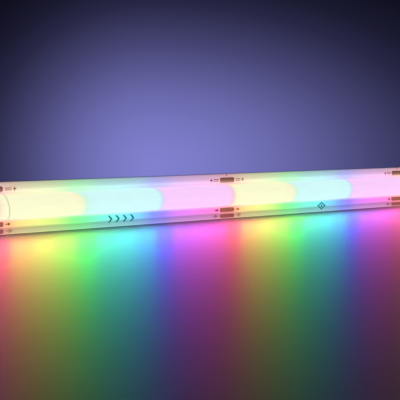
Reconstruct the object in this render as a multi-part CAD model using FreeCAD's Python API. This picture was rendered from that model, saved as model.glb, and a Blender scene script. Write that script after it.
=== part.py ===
"""Flexible COB pixel tape, 10 mm wide, cut to four units. Units: millimetres.

Frame: the origin is the centre of the mounting tape's back face. +X runs along the tape,
+Z across its width towards the supply edge, and the light leaves towards -Y. The layers are
stacked from the back face at y = 0 forwards, so every depth below is a distance from it.
"""
import FreeCAD, Part
import os

V = FreeCAD.Vector

# Length: 18 cut units to the metre, four of them in this piece.
UNITS_PER_METRE = 18
UNITS = 4
UNIT = 1000.0 / UNITS_PER_METRE
LENGTH = UNITS * UNIT
X0 = -LENGTH / 2
WIDTH = 10.0

# Thickness of each layer, from the back face forwards.
TAPE_ADHESIVE = 0.05
TAPE_CARRIER = 0.05
REAR_COVER = 0.05
REAR_COPPER = 0.05
FILM = 0.10
FRONT_COPPER = 0.05
FRONT_COVER = 0.06
PAD_PLATING = 0.03

# Depth of each boundary between layers.
D_CARRIER = TAPE_ADHESIVE
D_FRONT_ADHESIVE = D_CARRIER + TAPE_CARRIER
D_REAR_COVER = D_FRONT_ADHESIVE + TAPE_ADHESIVE
D_REAR_COPPER = D_REAR_COVER + REAR_COVER
D_FILM = D_REAR_COPPER + REAR_COPPER
D_FRONT_COPPER = D_FILM + FILM
D_COPPER_FACE = D_FRONT_COPPER + FRONT_COPPER
D_FACE = D_COPPER_FACE + FRONT_COVER

TAPE_WIDTH = 9.4

# Silicone dome: a segment of a circle on the front face.
DOME_CENTRE_Z = 0.28
DOME_HALF_WIDTH = 2.52
DOME_HEIGHT = 2.30

# Copper outlines, as (low z, high z).
SUPPLY_BUS = (3.44, 4.85)
GROUND_BUS = (-4.88, -3.80)
REAR_SUPPLY = (0.15, 4.75)
REAR_GROUND = (-4.75, -0.15)
SUPPLY_PAD = (2.96, 4.14)
DATA_PAD = (-3.56, -2.56)
GROUND_PAD = (-4.86, -4.00)
PAD_LENGTH = 4.1
PAD_CORNER = 0.38

# Light chips: one straight row, red, green and blue in turn.
CHIPS_PER_UNIT = 36
CHIP_PITCH = UNIT / CHIPS_PER_UNIT
CHIP = (0.50, 0.15, 0.26)
CHIP_Z = 0.30
CHIP_SOLDER = (0.16, 0.03, 0.22)
LAND_HEIGHT = 0.60
LAND_GAP = 0.16
CUT_MARGIN = 0.20

# One driver per colour zone, three zones to the unit.
ZONES_PER_UNIT = 3
ZONE = UNIT / ZONES_PER_UNIT
DRIVER = (2.00, 0.60, 1.20)
DRIVER_Z = -1.35
DRIVER_PIN = (0.45, 0.20)
DRIVER_PIN_PITCH = 0.40
PASSIVE_Z = -1.00
PASSIVE_OFFSET = 2.60
PASSIVE_END = 0.28
CAPACITOR = (1.00, 0.50, 0.50)
RESISTOR = (1.00, 0.35, 0.50)

DATA_TRACE = 0.22
DATA_TRACE_Z = DRIVER_Z - DRIVER_PIN_PITCH
DATA_STUB_X = 1.50
BRANCH = 0.40

VIA_RADIUS = 0.20
VIAS_PER_UNIT = 6
VIA_SUPPLY_Z = 4.10
VIA_GROUND_Z = -4.28


def block(x0, x1, d0, d1, z0, z1):
    """A box between two stations in x, two depths in front of the back face and two heights."""
    return Part.makeBox(x1 - x0, d1 - d0, z1 - z0, V(x0, -d1, z0))


def centred(x, z, size, d0):
    """A box of (along, thick, across) centred on x and z, standing on depth d0."""
    along, thick, across = size
    return block(x - along / 2, x + along / 2, d0, d0 + thick, z - across / 2, z + across / 2)


def layer(d0, d1, width=WIDTH):
    return block(X0, X0 + LENGTH, d0, d1, -width / 2, width / 2)


def cylinder(x, z, radius, d0, d1):
    return Part.makeCylinder(radius, d1 - d0, V(x, -d0, z), V(0, -1, 0))


def joined(shapes):
    """One solid from pieces that overlap or touch."""
    return shapes[0].multiFuse(shapes[1:]).removeSplitter()


def group(shapes):
    """All the solids of several shapes, kept apart in one compound."""
    return Part.makeCompound([solid for shape in shapes for solid in shape.Solids])


def rounded(x, span, d0, d1):
    """A pad with rounded corners across the cut line at x, clipped at the tape's ends."""
    plate = block(x - PAD_LENGTH / 2, x + PAD_LENGTH / 2, d0, d1, *span)
    corners = [e for e in plate.Edges if abs(e.tangentAt(e.FirstParameter).y) > 0.99]
    return plate.makeFillet(PAD_CORNER, corners).common(layer(d0, d1))


def cut_lines():
    return [X0 + i * UNIT for i in range(UNITS + 1)]


def driver_stations():
    return [X0 + (i + 0.5) * ZONE for i in range(UNITS * ZONES_PER_UNIT)]


def chip_stations():
    return [X0 + (i + 0.5) * CHIP_PITCH for i in range(UNITS * CHIPS_PER_UNIT)]


def pads(span):
    return group([rounded(x, span, D_COPPER_FACE, D_COPPER_FACE + PAD_PLATING)
                  for x in cut_lines()])


def pad_windows():
    return [rounded(x, span, D_COPPER_FACE, D_FACE)
            for span in (SUPPLY_PAD, DATA_PAD, GROUND_PAD) for x in cut_lines()]


def vias(z):
    step = UNIT / VIAS_PER_UNIT
    return group([cylinder(X0 + (i + 0.5) * step, z, VIA_RADIUS, D_FILM, D_FRONT_COPPER)
                  for i in range(UNITS * VIAS_PER_UNIT)])


def supply_bus():
    """The front supply copper: the bus, a land under each pad and a branch to every zone."""
    top = CHIP_Z + LAND_HEIGHT / 2
    bus = block(X0, X0 + LENGTH, D_FRONT_COPPER, D_COPPER_FACE, *SUPPLY_BUS)
    branches = [block(x - BRANCH / 2, x + BRANCH / 2, D_FRONT_COPPER, D_COPPER_FACE,
                      top, SUPPLY_BUS[0] + 0.1) for x in driver_stations()]
    lands = [rounded(x, SUPPLY_PAD, D_FRONT_COPPER, D_COPPER_FACE) for x in cut_lines()]
    return joined([bus] + branches + lands)


def data_traces():
    """From each driver's output to the next one's input, through the pads at the cut lines."""
    reach = DRIVER[0] / 2 - DRIVER_PIN[0] / 2 + DRIVER_PIN[0]
    low, high = DATA_TRACE_Z - DATA_TRACE / 2, DATA_TRACE_Z + DATA_TRACE / 2
    depth = (D_FRONT_COPPER, D_COPPER_FACE)
    traces = []
    stations = driver_stations()
    for before, after in zip(stations, stations[1:]):
        start, end = before + reach, after - reach
        cut = (before + after) / 2
        if min(abs(cut - x) for x in cut_lines()) > 1.0:
            traces.append(block(start, end, *depth, low, high))
            continue
        traces.append(joined([
            block(start, cut - DATA_STUB_X + DATA_TRACE, *depth, low, high),
            block(cut - DATA_STUB_X, cut - DATA_STUB_X + DATA_TRACE, *depth,
                  DATA_PAD[1] - 0.1, high),
            block(cut - PAD_LENGTH / 2, cut + PAD_LENGTH / 2, *depth, *DATA_PAD),
            block(cut + DATA_STUB_X - DATA_TRACE, cut + DATA_STUB_X, *depth,
                  DATA_PAD[1] - 0.1, high),
            block(cut + DATA_STUB_X - DATA_TRACE, end, *depth, low, high)]))
    for side, station in ((1, stations[0]), (-1, stations[-1])):
        end = -side * LENGTH / 2
        stub = end + side * DATA_STUB_X
        inner = end + side * PAD_LENGTH / 2
        pin = station - side * reach
        traces.append(joined([
            block(min(end, inner), max(end, inner), *depth, *DATA_PAD),
            block(min(stub, stub - side * DATA_TRACE), max(stub, stub - side * DATA_TRACE),
                  *depth, DATA_PAD[1] - 0.1, high),
            block(min(stub - side * DATA_TRACE, pin), max(stub - side * DATA_TRACE, pin),
                  *depth, low, high)]))
    return group(traces)


def chip_lands():
    """Short lands between neighbouring chips, parted under each chip and at each cut line."""
    lands = []
    low, high = CHIP_Z - LAND_HEIGHT / 2, CHIP_Z + LAND_HEIGHT / 2
    for unit in range(UNITS):
        start = X0 + unit * UNIT
        chips = [start + (i + 0.5) * CHIP_PITCH for i in range(CHIPS_PER_UNIT)]
        starts = [start + CUT_MARGIN] + [x + LAND_GAP / 2 for x in chips]
        ends = [x - LAND_GAP / 2 for x in chips] + [start + UNIT - CUT_MARGIN]
        lands += [block(a, b, D_FRONT_COPPER, D_COPPER_FACE, low, high)
                  for a, b in zip(starts, ends)]
    return group(lands)


def chips(colour):
    seat = D_COPPER_FACE + CHIP_SOLDER[1]
    return group([centred(x, CHIP_Z, CHIP, seat) for x in chip_stations()[colour::3]])


def chip_solder():
    offset = (LAND_GAP + CHIP_SOLDER[0]) / 2
    return group([centred(x + side * offset, CHIP_Z, CHIP_SOLDER, D_COPPER_FACE)
                  for x in chip_stations() for side in (-1, 1)])


def component_feet():
    """Centre and size, in x and z, of every soldered foot beside and under the components."""
    feet = []
    for x in driver_stations():
        for side in (-1, 1):
            for row in (-1, 0, 1):
                feet.append((x + side * DRIVER[0] / 2, DRIVER_Z + row * DRIVER_PIN_PITCH,
                             *DRIVER_PIN))
            for part in (x - PASSIVE_OFFSET, x + PASSIVE_OFFSET):
                feet.append((part + side * (CAPACITOR[0] - PASSIVE_END) / 2, PASSIVE_Z,
                             PASSIVE_END, CAPACITOR[2]))
    return feet


def feet_layer(d0, thick):
    return group([centred(x, z, (along, thick, across), d0)
                  for x, z, along, across in component_feet()])


def passives(size, side):
    return group([centred(x + side * PASSIVE_OFFSET, PASSIVE_Z, size, D_FACE)
                  for x in driver_stations()])


def dome(inside):
    """The silicone segment, cast around everything that stands on the front face."""
    left = V(X0, -D_FACE, DOME_CENTRE_Z - DOME_HALF_WIDTH)
    crown = V(X0, -D_FACE - DOME_HEIGHT, DOME_CENTRE_Z)
    right = V(X0, -D_FACE, DOME_CENTRE_Z + DOME_HALF_WIDTH)
    outline = Part.Wire([Part.Arc(left, crown, right).toShape(),
                         Part.LineSegment(right, left).toShape()])
    return Part.Face(outline).extrude(V(LENGTH, 0, 0)).cut(inside)


def build():
    nodes = {
        "tape_adhesive_rear": layer(0, D_CARRIER, TAPE_WIDTH),
        "tape_carrier": layer(D_CARRIER, D_FRONT_ADHESIVE, TAPE_WIDTH),
        "tape_adhesive_front": layer(D_FRONT_ADHESIVE, D_REAR_COVER, TAPE_WIDTH),
        "rear_copper_supply": block(X0, X0 + LENGTH, D_REAR_COPPER, D_FILM, *REAR_SUPPLY),
        "rear_copper_ground": block(X0, X0 + LENGTH, D_REAR_COPPER, D_FILM, *REAR_GROUND),
        "supply_vias": vias(VIA_SUPPLY_Z),
        "ground_vias": vias(VIA_GROUND_Z),
        "front_supply_bus": supply_bus(),
        "front_ground_bus": block(X0, X0 + LENGTH, D_FRONT_COPPER, D_COPPER_FACE, *GROUND_BUS),
        "data_traces": data_traces(),
        "chip_lands": chip_lands(),
        "component_lands": feet_layer(D_FRONT_COPPER, FRONT_COPPER),
        "supply_pads": pads(SUPPLY_PAD),
        "data_pads": pads(DATA_PAD),
        "ground_pads": pads(GROUND_PAD),
        "chip_solder": chip_solder(),
        "red_chips": chips(0),
        "green_chips": chips(1),
        "blue_chips": chips(2),
        "component_solder": feet_layer(D_COPPER_FACE, FRONT_COVER),
        "driver_chips": group([centred(x, DRIVER_Z, DRIVER, D_FACE) for x in driver_stations()]),
        "capacitors": passives(CAPACITOR, -1),
        "resistors": passives(RESISTOR, 1),
    }
    front_copper = ["front_supply_bus", "front_ground_bus", "data_traces", "chip_lands",
                    "component_lands"]
    through_cover = ["chip_solder", "component_solder", "red_chips", "green_chips",
                     "blue_chips"]
    in_dome = ["red_chips", "green_chips", "blue_chips", "driver_chips", "capacitors",
               "resistors"]

    def solids(names):
        return [solid for name in names for solid in nodes[name].Solids]

    rear_copper = solids(["rear_copper_supply", "rear_copper_ground"])
    nodes["rear_coverlay"] = layer(D_REAR_COVER, D_FILM).cut(rear_copper)
    nodes["base_film"] = layer(D_FILM, D_FRONT_COPPER).cut(
        solids(["supply_vias", "ground_vias"]))
    nodes["front_coverlay"] = layer(D_FRONT_COPPER, D_FACE).cut(
        solids(front_copper + through_cover) + pad_windows())
    nodes["silicone_dome"] = dome(solids(in_dome))
    return nodes


os.makedirs("parts", exist_ok=True)
for name, shape in build().items():
    solids = shape.Solids
    piece = solids[0] if len(solids) == 1 else Part.makeCompound(solids)
    piece.exportStep(f"parts/{name}.step")
    box = piece.BoundBox
    print(f"{name}: {len(solids)} solids, {piece.Volume:.3f} mm3, valid {piece.isValid()}, "
          f"x {box.XMin:.2f} {box.XMax:.2f} y {box.YMin:.2f} {box.YMax:.2f} "
          f"z {box.ZMin:.2f} {box.ZMax:.2f}")
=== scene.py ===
import math

import bpy
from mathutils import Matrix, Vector


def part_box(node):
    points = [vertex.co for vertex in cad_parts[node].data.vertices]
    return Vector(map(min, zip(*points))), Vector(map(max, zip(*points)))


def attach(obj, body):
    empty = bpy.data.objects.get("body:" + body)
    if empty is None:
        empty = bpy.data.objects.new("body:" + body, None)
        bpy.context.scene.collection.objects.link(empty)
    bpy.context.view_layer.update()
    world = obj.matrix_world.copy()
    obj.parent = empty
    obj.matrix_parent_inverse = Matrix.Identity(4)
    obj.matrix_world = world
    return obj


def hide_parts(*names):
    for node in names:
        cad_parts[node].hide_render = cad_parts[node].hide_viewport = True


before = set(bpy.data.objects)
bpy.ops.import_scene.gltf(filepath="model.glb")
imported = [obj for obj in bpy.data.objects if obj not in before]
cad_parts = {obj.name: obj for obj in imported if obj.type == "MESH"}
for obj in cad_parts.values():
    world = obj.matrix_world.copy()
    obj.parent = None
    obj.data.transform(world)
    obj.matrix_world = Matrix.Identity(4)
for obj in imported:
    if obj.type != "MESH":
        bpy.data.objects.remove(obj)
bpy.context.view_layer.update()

MM = 0.001
UNIT = 1000.0 / 18 * MM
UNITS = 4
LENGTH = UNIT * UNITS
X0 = -LENGTH / 2
HALF_WIDTH = 5.0 * MM
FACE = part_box("front_coverlay")[0].y
FLOOR_Z = -HALF_WIDTH

DOME_Z = 0.28 * MM
DOME_HALF = 2.52 * MM
DOME_HEIGHT = 2.30 * MM

# The light along one cut unit: what reaches the face and the floor, zone centres at 1/6, 1/2, 5/6.
RAINBOW = [(0.00, (1.40, 0.10, 0.20)), (0.05, (1.35, 0.45, 0.10)), (0.10, (1.12, 0.84, 0.10)),
           (0.17, (1.00, 1.04, 0.10)), (0.24, (0.70, 1.20, 0.08)), (0.30, (0.14, 1.50, 0.10)),
           (0.36, (0.05, 1.45, 0.34)), (0.42, (0.05, 1.05, 0.80)), (0.50, (0.05, 1.00, 1.00)),
           (0.58, (0.05, 0.72, 1.20)), (0.64, (0.09, 0.20, 1.60)), (0.69, (0.25, 0.08, 1.50)),
           (0.75, (0.80, 0.08, 1.15)), (0.83, (1.00, 0.08, 1.00)), (0.92, (1.15, 0.08, 0.74)),
           (1.00, (1.40, 0.10, 0.20))]
# Light painted on the face as glow, standing in for the strip's own light on it: height in mm, the
# share without colour, the share in zone colour. It falls to nothing at the upper edge, a painted
# dark line.
FACE_LIGHT = [(-5.00, 0.22, 0.52), (-4.90, 0.27, 0.42), (-4.80, 0.27, 0.35), (-4.40, 0.22, 0.34),
              (-3.93, 0.15, 0.33), (-3.84, 0.17, 0.41), (-3.68, 0.20, 0.58), (-3.45, 0.20, 0.69),
              (-2.80, 0.155, 0.76), (-2.55, 0.25, 0.66), (-2.38, 0.42, 0.50), (-2.10, 0.42, 0.42),
              (2.80, 0.50, 0.40), (3.12, 0.57, 0.41), (3.38, 0.54, 0.38), (3.55, 0.48, 0.31),
              (3.95, 0.39, 0.28), (4.35, 0.37, 0.235), (4.75, 0.335, 0.19), (4.90, 0.22, 0.13),
              (4.96, 0.04, 0.03), (5.00, 0.00, 0.01)]
# What the bright silicone itself shows.
DOME_YELLOW = (0.95, 0.945, 0.62)
DOME_CYAN = (0.635, 0.945, 0.945)
DOME_MAGENTA = (0.95, 0.61, 0.965)
# How far each zone's end falls back at the bead's upper edge, so that it ends round, and how far
# below the bead's middle that curve is centred.
END_ROUND = 4.4 * MM
ROUND_LEAN = 0.8 * MM
# The silicone's thin edges: where they start, and how much zone colour and plain light they mix.
THIN_EDGE = 2.15 * MM
VEIL_COLOUR = 0.40
VEIL_PLAIN = (0.50, 0.50, 0.50)
# A hairline joint in the silicone, just past the first cut line inside the tape, and its slant.
JOINT_X = X0 + UNIT + 2.25 * MM
JOINT_SLANT = 0.15


def across_width(height):
    """A height in mm on the face as a share of the tape's width, from its lower edge."""
    return height * MM / (2 * HALF_WIDTH) + 0.5


# ---------------------------------------------------------------- node helpers

class Nodes:
    """A small builder for one node tree."""

    def __init__(self, tree):
        self.tree = tree

    def new(self, kind, **values):
        node = self.tree.nodes.new(kind)
        for key, value in values.items():
            setattr(node, key, value)
        return node

    def link(self, out, into):
        self.tree.links.new(out, into)

    def place(self):
        return self.new("ShaderNodeTexCoord").outputs["Object"]

    def axis(self, name):
        split = self.new("ShaderNodeSeparateXYZ")
        self.link(self.place(), split.inputs[0])
        return split.outputs[name]

    def math(self, operation, a, b=None, clamp=False):
        node = self.new("ShaderNodeMath", operation=operation, use_clamp=clamp)
        for slot, value in enumerate((a, b)):
            if value is None:
                continue
            if isinstance(value, (int, float)):
                node.inputs[slot].default_value = value
            else:
                self.link(value, node.inputs[slot])
        return node.outputs[0]

    def spread(self, value, low, high, to_low=0.0, to_high=1.0, smooth=True):
        node = self.new("ShaderNodeMapRange", clamp=True)
        node.interpolation_type = "SMOOTHSTEP" if smooth else "LINEAR"
        self.link(value, node.inputs["Value"])
        for key, number in (("From Min", low), ("From Max", high),
                            ("To Min", to_low), ("To Max", to_high)):
            node.inputs[key].default_value = number
        return node.outputs["Result"]

    def ramp(self, value, stops):
        node = self.new("ShaderNodeValToRGB")
        elements = node.color_ramp.elements
        while len(elements) < len(stops):
            elements.new(0.5)
        for element, (position, colour) in zip(elements, stops):
            element.position = position
            element.color = (*colour, 1.0)
        self.link(value, node.inputs["Fac"])
        return node.outputs["Color"]

    def mix(self, factor, a, b, blend="MIX"):
        node = self.new("ShaderNodeMix", data_type="RGBA", blend_type=blend)
        for slot, value in ((0, factor), (6, a), (7, b)):
            if isinstance(value, (int, float)):
                node.inputs[slot].default_value = value
            elif isinstance(value, tuple):
                node.inputs[slot].default_value = (*value, 1.0)
            else:
                self.link(value, node.inputs[slot])
        return node.outputs[2]

    def noise(self, scale, detail=3.0, rough=0.5, stretch=(1, 1, 1)):
        mapping = self.new("ShaderNodeMapping")
        mapping.inputs["Scale"].default_value = stretch
        self.link(self.place(), mapping.inputs["Vector"])
        node = self.new("ShaderNodeTexNoise")
        node.inputs["Scale"].default_value = scale
        node.inputs["Detail"].default_value = detail
        node.inputs["Roughness"].default_value = rough
        self.link(mapping.outputs[0], node.inputs["Vector"])
        return node.outputs["Fac"]

    def along_unit(self):
        """How far along its cut unit this place is, from 0 to 1."""
        x = self.math("SUBTRACT", self.axis("X"), X0 - UNIT)
        return self.math("FRACT", self.math("DIVIDE", x, UNIT))

    def add(self, a, b):
        return self.mix(1.0, a, b, "ADD")

    def times(self, colour, factor):
        """A colour times a number, which is a constant or comes from a socket."""
        node = self.new("ShaderNodeVectorMath", operation="SCALE")
        self.link(colour, node.inputs[0])
        if isinstance(factor, (int, float)):
            node.inputs["Scale"].default_value = factor
        else:
            self.link(factor, node.inputs["Scale"])
        return node.outputs[0]


class Principled(Nodes):
    """A new material with a Principled surface."""

    def __init__(self, name):
        self.material = bpy.data.materials.new(name)
        self.material.use_nodes = True
        super().__init__(self.material.node_tree)
        self.surface = self.tree.nodes["Principled BSDF"]

    def bump(self, height, strength, distance):
        node = self.new("ShaderNodeBump")
        node.inputs["Strength"].default_value = strength
        node.inputs["Distance"].default_value = distance
        self.link(height, node.inputs["Height"])
        self.link(node.outputs[0], self.surface.inputs["Normal"])

    def set(self, **values):
        for key, value in values.items():
            socket = self.surface.inputs[key.replace("_", " ")]
            if isinstance(value, (int, float)):
                socket.default_value = value
            elif isinstance(value, tuple):
                socket.default_value = (*value, 1.0)
            else:
                self.link(value, socket)
        return self.material


def speckled(name, low, high, scale, rough=(0.4, 0.55), metallic=0.0, bump=0.15,
             bump_distance=0.00002, stretch=(1, 1, 1)):
    """A surface that varies between two colours, with its roughness and relief."""
    n = Principled(name)
    fine = n.noise(scale, 4.0, 0.6, stretch)
    n.bump(fine, bump, bump_distance)
    return n.set(Base_Color=n.ramp(fine, [(0.3, low), (0.7, high)]),
                 Roughness=n.spread(fine, 0.3, 0.7, rough[0], rough[1], False),
                 Metallic=metallic)


# ---------------------------------------------------------------- materials

def silicone():
    """The lit silicone: crisp zones through its crown, softer and more mixed at its edges."""
    n = Principled("silicone_lit")
    offset = n.math("DIVIDE", n.math("SUBTRACT", n.axis("Z"), DOME_Z - ROUND_LEAN),
                    DOME_HALF + ROUND_LEAN)
    flat = n.math("SQRT", n.math("SUBTRACT", 1.0, n.math("POWER", n.math("ABSOLUTE", offset), 4.0),
                                 True))
    depth = n.ramp(n.along_unit(), [(0.0, (0.4, 0.4, 0.4)), (0.22, (1.0, 1.0, 1.0)),
                                    (0.36, (1.0, 1.0, 1.0)), (0.52, (0.55, 0.55, 0.55)),
                                    (1.0, (0.4, 0.4, 0.4))])
    back = n.math("MULTIPLY", n.math("MULTIPLY", n.math("SUBTRACT", 1.0, flat), depth), END_ROUND)
    along = n.math("FRACT", n.math("ADD", n.along_unit(), n.math("DIVIDE", back, UNIT)))

    def near(boundary, mm):
        """A place so many mm past a zone boundary, counted from the start of the unit."""
        return boundary / 3 + mm * MM / UNIT

    crisp = n.ramp(along, [
        (0.0, (0.88, 0.62, 0.65)), (near(0, 0.25), (0.90, 0.66, 0.61)),
        (near(0, 0.6), (0.94, 0.79, 0.60)), (near(0, 1.0), (0.95, 0.90, 0.60)),
        (near(0, 1.6), DOME_YELLOW), (near(1, -3.0), DOME_YELLOW),
        (near(1, -0.9), (0.94, 0.91, 0.63)), (near(1, -0.5), (0.86, 0.93, 0.65)),
        (near(1, -0.1), (0.71, 0.92, 0.68)), (near(1, 0.3), (0.63, 0.92, 0.74)),
        (near(1, 1.4), DOME_CYAN), (near(2, -1.1), DOME_CYAN), (near(2, -0.5), (0.62, 0.80, 0.94)),
        (near(2, -0.15), (0.67, 0.68, 0.91)), (near(2, 0.3), (0.85, 0.63, 0.94)),
        (near(2, 1.0), DOME_MAGENTA), (near(3, -0.8), DOME_MAGENTA),
        (near(3, -0.3), (0.94, 0.61, 0.80)), (1.0, (0.88, 0.62, 0.65))])
    veil = n.mix(1.0, n.times(n.ramp(n.along_unit(), RAINBOW), VEIL_COLOUR),
                 VEIL_PLAIN, "ADD")
    across = n.math("ABSOLUTE", n.math("SUBTRACT", n.axis("Z"), DOME_Z))
    edge = n.spread(across, THIN_EDGE, DOME_HALF)
    cloud = n.spread(n.noise(500, 3.0, 0.6, (0.5, 2, 2)), 0.3, 0.7, 0.975, 1.02, False)
    aslant = n.math("MULTIPLY", n.math("SUBTRACT", n.axis("Z"), DOME_Z), JOINT_SLANT)
    joint = n.math("ADD", n.math("SUBTRACT", n.axis("X"), JOINT_X), aslant)
    cloud = n.math("MULTIPLY", cloud, n.spread(n.math("ABSOLUTE", joint), 0.04 * MM, 0.13 * MM,
                                               0.55, 1.0))
    n.bump(n.noise(450, 2.0, 0.5, (1, 2, 2)), 0.2, 0.00004)
    return n.set(Base_Color=(0.30, 0.31, 0.30), Roughness=0.38, Specular_IOR_Level=0.25,
                 Emission_Color=n.mix(edge, crisp, veil), Emission_Strength=cloud)


def coverlay():
    """White solder mask, with the strip's own light on it painted in as glow and painted shade
    along both long edges. Copper under it greys it, and its bare edges and the seams between the
    copper areas stand out as fine relief."""
    n = Principled("coverlay_white")
    z = n.axis("Z")
    supply = n.spread(z, 3.37 * MM, 3.51 * MM)
    edge_top = n.spread(z, 4.80 * MM, 4.90 * MM, 1.0, 0.0)
    ground = n.spread(z, -3.87 * MM, -3.73 * MM, 1.0, 0.0)
    edge_low = n.spread(z, -4.92 * MM, -4.84 * MM)
    copper = n.math("MAXIMUM", n.math("MULTIPLY", supply, edge_top),
                    n.math("MULTIPLY", ground, edge_low))
    grain = n.noise(2600, 3.0, 0.6)
    wash = n.spread(n.noise(160, 2.0, 0.5), 0.35, 0.65, 0, 1, False)
    # Painted shade: the face's colour darkens towards both long edges.
    edge_shade = n.spread(n.math("ABSOLUTE", z), 4.90 * MM, 4.97 * MM, 1.0, 0.15)
    white = n.mix(wash, (0.82, 0.81, 0.78), (0.88, 0.87, 0.85))
    covered = n.mix(wash, (0.56, 0.49, 0.44), (0.62, 0.54, 0.48))
    n.bump(n.math("ADD", copper, n.math("MULTIPLY", grain, 0.12)), 0.5, 0.00005)
    # Painted light: the face glows with the strip's light, by height from FACE_LIGHT and in the
    # zone colours.
    across = n.spread(z, -HALF_WIDTH, HALF_WIDTH, 0, 1, False)
    share = n.ramp(across, [(across_width(height), (plain, tinted, 0.0))
                            for height, plain, tinted in FACE_LIGHT])
    split = n.new("ShaderNodeSeparateColor")
    n.link(share, split.inputs[0])
    plain = n.mix(1.0, (0.94, 0.97, 1.0), split.outputs[0], "MULTIPLY")
    light = n.add(plain, n.times(n.ramp(n.along_unit(), RAINBOW), split.outputs[1]))
    return n.set(Base_Color=n.times(n.mix(copper, white, covered), edge_shade), Roughness=0.42,
                 Specular_IOR_Level=0.4, Emission_Color=light, Emission_Strength=1.0)


def copper_pad(name, stops):
    """Bare plated copper with the silicone's light painted on: a colour for each height in mm, used
    as its colour and as its glow.
    """
    n = Principled(name)
    blotch = n.noise(900, 4.0, 0.65)
    n.bump(n.noise(5200, 2.0, 0.5), 0.35, 0.00002)
    height = n.spread(n.axis("Z"), -HALF_WIDTH, HALF_WIDTH, 0, 1, False)
    painted_light_by_height = n.ramp(height, [(across_width(z), colour) for z, colour in stops])
    colour = n.times(painted_light_by_height, n.spread(blotch, 0.3, 0.7, 0.90, 1.10, False))
    return n.set(Base_Color=colour, Metallic=0.2, Emission_Color=colour,
                 Emission_Strength=0.9, Roughness=n.spread(blotch, 0.3, 0.7, 0.52, 0.36, False))


def paint(node_names, material):
    """Give CAD nodes a material, with no change to their shape."""
    for name in node_names:
        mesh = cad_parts[name].data
        mesh.materials.clear()
        mesh.materials.append(material)


# ---------------------------------------------------------------- the dome

def mesh_object(name, points, faces, material, smooth=True):
    """A new mesh with one material, placed in the scene."""
    mesh = bpy.data.meshes.new(name)
    mesh.from_pydata(points, [], faces)
    mesh.update()
    for polygon in mesh.polygons:
        polygon.use_smooth = smooth
    obj = bpy.data.objects.new(name, mesh)
    bpy.context.scene.collection.objects.link(obj)
    mesh.materials.append(material)
    return obj


def dome():
    """A dispensed bead: a circle segment whose edges wander slightly where it wetted the face."""
    rows, around = 445, 29
    radius = (DOME_HALF ** 2 + DOME_HEIGHT ** 2) / (2 * DOME_HEIGHT)
    sweep = math.asin(DOME_HALF / radius)
    centre_y = FACE - DOME_HEIGHT + radius
    points, faces = [], []
    for i in range(rows):
        x = X0 + LENGTH * i / (rows - 1)
        wander = 0.045 * MM * (math.sin(x * 61) + 0.6 * math.sin(x * 143 + 1.3)
                               + 0.35 * math.sin(x * 377 + 0.4))
        swell = 1 + 0.010 * math.sin(x * 97 + 0.7) + 0.006 * math.sin(x * 251)
        for j in range(around):
            angle = -sweep + 2 * sweep * j / (around - 1)
            z = DOME_Z + radius * math.sin(angle) * swell + wander
            y = min(centre_y - radius * math.cos(angle), FACE)
            points.append((x, FACE + (y - FACE) * min(swell, 1.0), z))
    for i in range(rows - 1):
        for j in range(around - 1):
            a = i * around + j
            faces.append((a, a + around, a + around + 1, a + 1))
    last = (rows - 1) * around
    faces.append(tuple(range(around)))
    faces.append(tuple(last + j for j in reversed(range(around))))
    obj = mesh_object("silicone_bead", points, faces, silicone())
    for polygon in obj.data.polygons[-2:]:
        polygon.use_smooth = False
    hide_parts("silicone_dome")
    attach(obj, "root")
    # The row of lights in front of it stands in for the bead on the floor.
    obj.visible_diffuse = obj.visible_glossy = False


# ---------------------------------------------------------------- printed marks

INK_DEPTH = 0.012 * MM


def ink_material():
    """Dark ink with a faint glow in the zone colours, painted light standing in for the strip's
    light on it.
    """
    n = Principled("ink_dark")
    wear_and_glow = n.noise(3800, 3.0, 0.6)
    return n.set(Base_Color=n.ramp(wear_and_glow, [(0.3, (0.035, 0.032, 0.03)),
                                          (0.75, (0.12, 0.11, 0.10))]),
                 Roughness=0.6, Emission_Color=n.ramp(n.along_unit(), RAINBOW),
                 Emission_Strength=n.spread(wear_and_glow, 0.3, 0.75, 0.14, 0.24, False))


class Ink:
    """Flat strokes and shapes printed on the face, gathered into one piece."""

    def __init__(self):
        self.points, self.faces = [], []

    def shape(self, outline):
        """A convex outline of (x, z) points in millimetres, made a thin solid."""
        start, count = len(self.points), len(outline)
        for depth in (0.0, INK_DEPTH):
            self.points += [(x * MM, FACE - depth, z * MM) for x, z in outline]
        front = tuple(range(start + count, start + 2 * count))
        self.faces.append(front)
        self.faces.append(tuple(reversed(range(start, start + count))))
        for i in range(count):
            j = (i + 1) % count
            self.faces.append((start + i, start + j, start + count + j, start + count + i))

    def bar(self, x0, z0, x1, z1, width):
        along = Vector((x1 - x0, z1 - z0)).normalized()
        side = Vector((-along.y, along.x)) * width / 2
        tip = along * width / 2
        a, b = Vector((x0, z0)) - tip, Vector((x1, z1)) + tip
        self.shape([tuple(a - side), tuple(b - side), tuple(b + side), tuple(a + side)])

    def finish(self, name, material):
        obj = mesh_object(name, self.points, self.faces, material, smooth=False)
        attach(obj, "root")
        return obj


def mark_supply(ink, x, z, side):
    """The straight and broken lines for direct current, with a plus sign on the outer side."""
    ink.bar(x - 0.60 - 0.36 * side, z + 0.17, x + 0.60 - 0.36 * side, z + 0.17, 0.17)
    for k in range(3):
        left = x - 0.60 + 0.48 * k - 0.36 * side
        ink.bar(left, z - 0.19, left + 0.24, z - 0.19, 0.17)
    ink.bar(x + side * 0.96 - 0.26, z, x + side * 0.96 + 0.26, z, 0.2)
    ink.bar(x + side * 0.96, z - 0.28, x + side * 0.96, z + 0.28, 0.2)


def mark_arrow(ink, x, z):
    """An arrow along the data."""
    ink.bar(x - 0.46, z, x + 0.02, z, 0.2)
    ink.shape([(x, z - 0.36), (x + 0.56, z), (x, z + 0.36)])


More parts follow.
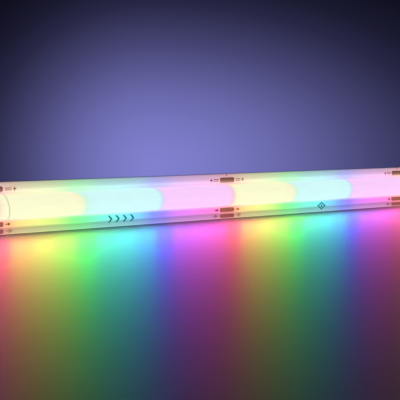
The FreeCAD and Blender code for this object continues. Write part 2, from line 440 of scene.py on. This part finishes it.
def mark_ground(ink, x, z, side):
    """The three shortening lines of a ground sign, lying along the tape."""
    ink.bar(x - 0.62 * side, z, x - 0.14 * side, z, 0.15)
    for k, half in enumerate((0.36, 0.23, 0.10)):
        place = x + (0.29 * k - 0.02) * side
        ink.bar(place, z - half, place, z + half, 0.14)


def mark_chevrons(ink, x, z):
    """A row of solid arrowheads that point along the data."""
    for k in range(4):
        left = x - 3.3 + 1.75 * k
        for sign in (-1, 1):
            ink.shape([(left, z + sign * 0.72), (left + 0.42, z + sign * 0.72),
                       (left + 1.10, z), (left + 0.62, z)][::sign])


def mark_diamond(ink, x, z):
    """A hollow diamond with a dot in it."""
    corners = [(-1.15, 0.0), (0.0, 0.75), (1.15, 0.0), (0.0, -0.75)]
    for (ax, az), (bx, bz) in zip(corners, corners[1:] + corners[:1]):
        ink.bar(x + ax, z + az, x + bx, z + bz, 0.3)
    ink.shape([(x + 0.3 * math.cos(k * math.pi / 4), z + 0.3 * math.sin(k * math.pi / 4))
               for k in range(8)])


def marks():
    """Symbols beside the pads at every cut line, and one mark in the middle of each unit."""
    ink = Ink()
    unit = UNIT / MM
    for i in range(UNITS + 1):
        cut = X0 / MM + i * unit
        for side in (-1, 1):
            past_the_end = abs(cut + 3 * side) > LENGTH / MM / 2
            if past_the_end:
                continue
            mark_supply(ink, cut + 3.45 * side, 3.60, side)
            mark_arrow(ink, cut + 2.95 * side, -3.06)
            mark_ground(ink, cut + 3.20 * side, -4.36, side)
        if abs(cut) < LENGTH / MM / 2 - 1:
            ink.bar(cut - 0.2, 4.50, cut - 0.2, 4.86, 0.16)
    for i in range(UNITS):
        start = X0 / MM + i * unit
        if i % 2:
            mark_chevrons(ink, start + 0.506 * unit, -3.42)
        else:
            mark_diamond(ink, start + 0.52 * unit, -3.60)
    return ink.finish("printed_marks", ink_material())


# ---------------------------------------------------------------- build

paint(["front_coverlay"], coverlay())
# The face is left out of the floor's mirror image, where its plain light would grey the colours.
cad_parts["front_coverlay"].visible_glossy = False
paint(["rear_coverlay"], speckled("coverlay_rear", (0.74, 0.73, 0.70), (0.82, 0.81, 0.79),
                                  900, (0.4, 0.5)))
paint(["base_film"], speckled("film_amber", (0.42, 0.20, 0.04), (0.62, 0.34, 0.09), 1200,
                              (0.25, 0.4)))
# The supply pads' colours by height are painted light: lightest next to the bead, darkening away
# from it.
paint(["supply_pads"], copper_pad("pad_copper_painted_light_upper", [
    (2.96, (0.60, 0.36, 0.30)), (3.18, (0.52, 0.29, 0.24)), (3.32, (0.34, 0.16, 0.12)),
    (3.62, (0.25, 0.115, 0.085)), (3.88, (0.19, 0.07, 0.05)), (4.14, (0.17, 0.06, 0.045))]))
# The data and ground pads' colours by height are painted light: lighter next to the bead and by the
# lower edge.
paint(["data_pads", "ground_pads"], copper_pad("pad_copper_painted_light_lower", [
    (-4.86, (0.42, 0.115, 0.125)), (-4.55, (0.34, 0.095, 0.090)), (-4.10, (0.31, 0.085, 0.070)),
    (-4.00, (0.34, 0.100, 0.085)), (-3.56, (0.36, 0.110, 0.080)), (-2.85, (0.36, 0.115, 0.080)),
    (-2.56, (0.44, 0.155, 0.120))]))
bright_copper = speckled("copper_bright", (0.62, 0.27, 0.15), (0.80, 0.40, 0.25), 1800,
                         (0.28, 0.42), 1.0)
paint(["rear_copper_supply", "rear_copper_ground", "supply_vias", "ground_vias",
       "front_supply_bus", "front_ground_bus", "data_traces", "chip_lands",
       "component_lands"], bright_copper)
paint(["chip_solder", "component_solder"],
      speckled("solder_tin", (0.50, 0.50, 0.52), (0.72, 0.72, 0.74), 2600, (0.25, 0.45), 1.0))
paint(["red_chips"], speckled("chip_red", (0.50, 0.09, 0.06), (0.66, 0.16, 0.11), 3000))
paint(["green_chips"], speckled("chip_green", (0.12, 0.42, 0.16), (0.20, 0.58, 0.25), 3000))
paint(["blue_chips"], speckled("chip_blue", (0.10, 0.18, 0.55), (0.16, 0.28, 0.70), 3000))
paint(["driver_chips"], speckled("driver_black", (0.012, 0.012, 0.014),
                                 (0.03, 0.03, 0.034), 2400, (0.45, 0.6)))
paint(["capacitors"], speckled("capacitor_tan", (0.30, 0.19, 0.11), (0.42, 0.28, 0.17), 2000))
paint(["resistors"], speckled("resistor_black", (0.015, 0.015, 0.018),
                              (0.04, 0.04, 0.045), 2200))
paint(["tape_adhesive_rear", "tape_adhesive_front"],
      speckled("adhesive_milky", (0.66, 0.63, 0.56), (0.76, 0.74, 0.67), 500, (0.35, 0.6),
               bump=0.3))
paint(["tape_carrier"], speckled("carrier_white", (0.78, 0.78, 0.76), (0.86, 0.86, 0.84), 800))
dome()
marks()

# ---------------------------------------------------------------- stage

def gloss_floor():
    """A plain grey gloss floor that fades into the backdrop all round."""
    n = Principled("floor_grey")
    fine = n.noise(420, 3.0, 0.6)
    n.bump(fine, 0.06, 0.0001)
    n.set(Base_Color=n.ramp(fine, [(0.3, (0.21, 0.21, 0.22)), (0.7, (0.24, 0.24, 0.25))]),
          Roughness=0.37, Specular_IOR_Level=1.0, IOR=2.0)
    away = n.new("ShaderNodeVectorMath", operation="DISTANCE")
    away.inputs[1].default_value = (0.0, -0.07, FLOOR_Z)
    n.link(n.place(), away.inputs[0])
    clear = n.new("ShaderNodeBsdfTransparent")
    blend = n.new("ShaderNodeMixShader")
    n.link(n.spread(away.outputs["Value"], 0.15, 0.225), blend.inputs[0])
    n.link(n.surface.outputs[0], blend.inputs[1])
    n.link(clear.outputs[0], blend.inputs[2])
    n.link(blend.outputs[0], n.tree.nodes["Material Output"].inputs["Surface"])
    half = 0.32
    corners = [(-half, -half, FLOOR_Z), (half, -half, FLOOR_Z),
               (half, half, FLOOR_Z), (-half, half, FLOOR_Z)]
    floor = mesh_object("floor", corners, [(0, 1, 2, 3)], n.material)


def area_light(name, place, aim, width, height, watts, colour, mirrored):
    """A rectangular light, unseen itself, whose mirror image on the floor may be wanted or not."""
    data = bpy.data.lights.new(name, "AREA")
    data.shape, data.size, data.size_y = "RECTANGLE", width, height
    data.energy, data.color = watts, colour
    obj = bpy.data.objects.new(name, data)
    obj.location = place
    obj.rotation_mode = "QUATERNION"
    obj.rotation_quaternion = (Vector(aim) - Vector(place)).to_track_quat("-Z", "Y")
    obj.visible_camera = False
    obj.visible_glossy = mirrored
    bpy.context.scene.collection.objects.link(obj)


def rainbow(along):
    """The colour of the light at a place along a cut unit, from 0 to 1."""
    for (low, first), (high, second) in zip(RAINBOW, RAINBOW[1:]):
        if low <= along <= high:
            t = (along - low) / (high - low)
            return tuple(a + (b - a) * t for a, b in zip(first, second))


# The row of lights that stands in for the chips, in tiers, brightest low down: bottom and top
# above the floor in mm, radiance, and the share of cool white mixed in.
COOL_WHITE = (0.65, 0.85, 1.30)
TIERS = [(0.12, 2.4, 0.30, 0.50), (3.0, 8.5, 4.8, 0.11), (8.5, 14.0, 2.0, 0.09),
         (14.0, 24.0, 0.50, 0.05)]


def tape_light():
    """What the chips throw on the floor: a row of small lights just in front of the bead."""
    per_unit = 12
    deeper = 1.25  # The floor shows deeper colours than the face does.
    step = UNIT / per_unit
    for i in range(UNITS * per_unit + 1):
        x = X0 + i * step
        strong = [c ** deeper for c in rainbow(i % per_unit / per_unit)]
        for k, (bottom, top, radiance, white) in enumerate(TIERS):
            colour = [c + white * w for c, w in zip(strong, COOL_WHITE)]
            height = (top - bottom) * MM
            z = FLOOR_Z + bottom * MM + height / 2
            y = FACE - 0.25 * MM if k == 0 else FACE - DOME_HEIGHT - 0.15 * MM
            area_light(f"chip_light_{i:02d}_{k}", (x, y, z), (x, y - 1.0, z), step, height,
                       radiance * math.pi * step * height, colour, True)


gloss_floor()
tape_light()
# Soft studio light, kept low behind the tape and past its ends, so that it shows the back and
# the cut ends and leaves the floor in front in shadow, where the strip's colours show.
area_light("rear", (0.0, 0.34, 0.010), (0.0, 0.0, 0.0), 0.6, 0.03, 0.7, (1.0, 0.98, 0.96), False)
for side_name, side in (("left", -1), ("right", 1)):
    area_light(side_name, (0.45 * side, 0.05, 0.012), (0.11 * side, 0.0, 0.0), 0.12, 0.03, 0.25,
               (0.95, 0.97, 1.0), False)


def backdrop():
    """A plain blue-violet glow behind the tape, darker overhead and dim all round."""
    world = bpy.data.worlds.new("world")
    bpy.context.scene.world = world
    world.use_nodes = True
    n = Nodes(world.node_tree)
    generated = n.new("ShaderNodeTexCoord").outputs["Generated"]
    heading = math.radians(33.3)  # Where the glow's middle lies, from +Y towards +X.

    def toward(direction):
        dot = n.new("ShaderNodeVectorMath", operation="DOT_PRODUCT")
        dot.inputs[1].default_value = direction
        n.link(generated, dot.inputs[0])
        return dot.outputs["Value"]

    # The glow is an oval about a direction just below level. It fades fastest upwards and to the
    # left, and slowest to the right.
    side = toward((math.cos(heading), -math.sin(heading), 0))
    side = n.math("MAXIMUM", n.math("MULTIPLY", side, 0.9), n.math("MULTIPLY", side, -1.58))
    rise = n.math("MULTIPLY", n.math("ADD", toward((0, 0, 1)), 0.04), 1.65)
    place = n.new("ShaderNodeCombineXYZ")
    for slot, value in enumerate((side, rise, toward((math.sin(heading), math.cos(heading), 0)))):
        n.link(value, place.inputs[slot])
    away = n.new("ShaderNodeVectorMath", operation="DISTANCE")
    away.inputs[1].default_value = (0, 0, 1)
    n.link(place.outputs[0], away.inputs[0])
    glow = [(0.00, 0.64), (0.04, 0.59), (0.08, 0.515), (0.125, 0.41), (0.17, 0.29), (0.21, 0.185),
            (0.25, 0.110), (0.28, 0.064), (0.32, 0.031), (0.37, 0.014), (0.42, 0.010), (0.9, 0.016),
            (1.4, 0.07), (2.0, 0.12)]
    colour = n.ramp(n.math("DIVIDE", away.outputs["Value"], 2.0),
                    [(r / 2.0, (0.35 * b, 0.345 * b, b)) for r, b in glow])
    n.link(colour, n.tree.nodes["Background"].inputs["Color"])
    n.tree.nodes["Background"].inputs["Strength"].default_value = 1.0
    # The backdrop is seen directly and in reflections, but gives no diffuse light.
    world.cycles_visibility.diffuse = False


backdrop()
bpy.context.scene.view_settings.view_transform = "Standard"

# ---------------------------------------------------------------- camera

camera = bpy.data.cameras.new("camera")
camera.sensor_width = 36.0
camera.lens = 83.06
camera.clip_start, camera.clip_end = 0.005, 20.0
camera_object = bpy.data.objects.new("camera", camera)
yaw, pitch = math.radians(36.27), math.radians(4.43)
camera_object.location = (-126.16 * MM, -162.17 * MM, 14.99 * MM)
ahead = Vector((math.sin(yaw) * math.cos(pitch), math.cos(yaw) * math.cos(pitch),
                -math.sin(pitch)))
camera_object.rotation_mode = "QUATERNION"
camera_object.rotation_quaternion = ahead.to_track_quat("-Z", "Y")
bpy.context.scene.collection.objects.link(camera_object)
bpy.context.scene.camera = camera_object
